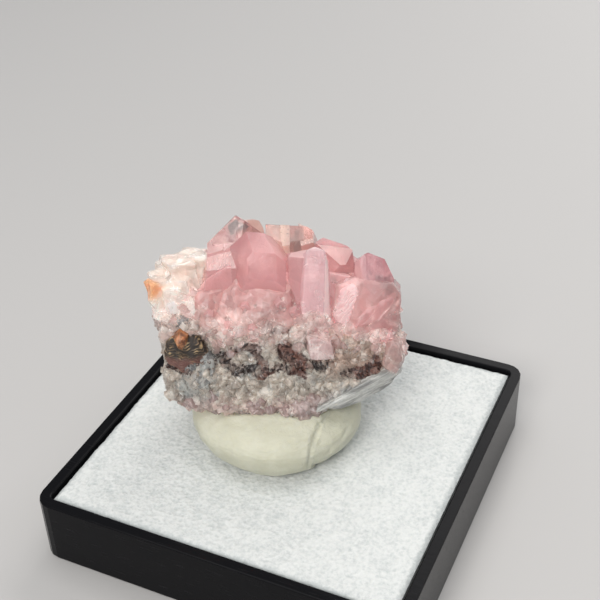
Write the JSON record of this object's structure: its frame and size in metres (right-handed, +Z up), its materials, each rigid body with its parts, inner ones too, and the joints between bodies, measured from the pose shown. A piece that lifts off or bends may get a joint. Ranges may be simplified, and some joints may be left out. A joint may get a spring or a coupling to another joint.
{
  "type": "mineral specimen",
  "caption": "Thumbnail mineral specimen: a pink calcite crystal cluster on granular rock, held by putty on the white foam of a small black display tray.",
  "frame": {"origin": "the middle of the tray's flat underside", "axes": "+Z up through the specimen; +X and +Y along the tray's sides, with the specimen's front turned to face between -Y and +X"},
  "size_m": [0.0318, 0.0318, 0.0249],
  "materials": {
    "tray_plastic": "gloss",
    "white_foam": "matte, fine cells",
    "putty": "matte, off-white",
    "granular_rock": "sugary, granular",
    "pink_calcite": "glassy, clear to milky pink",
    "pale_calcite": "cleaved, pearly",
    "iron_oxide": "dull to resinous, ridged"
  },
  "bodies": {
    "root": {"display_tray": "tray_plastic", "foam_pad": "white_foam", "mounting_putty": "putty", "matrix": "granular_rock", "crystal_cluster": "pink_calcite", "pale_calcite": "pale_calcite", "oxide_nodule": "iron_oxide", "small_crystal": "pink_calcite"}
  },
  "joints": []
}
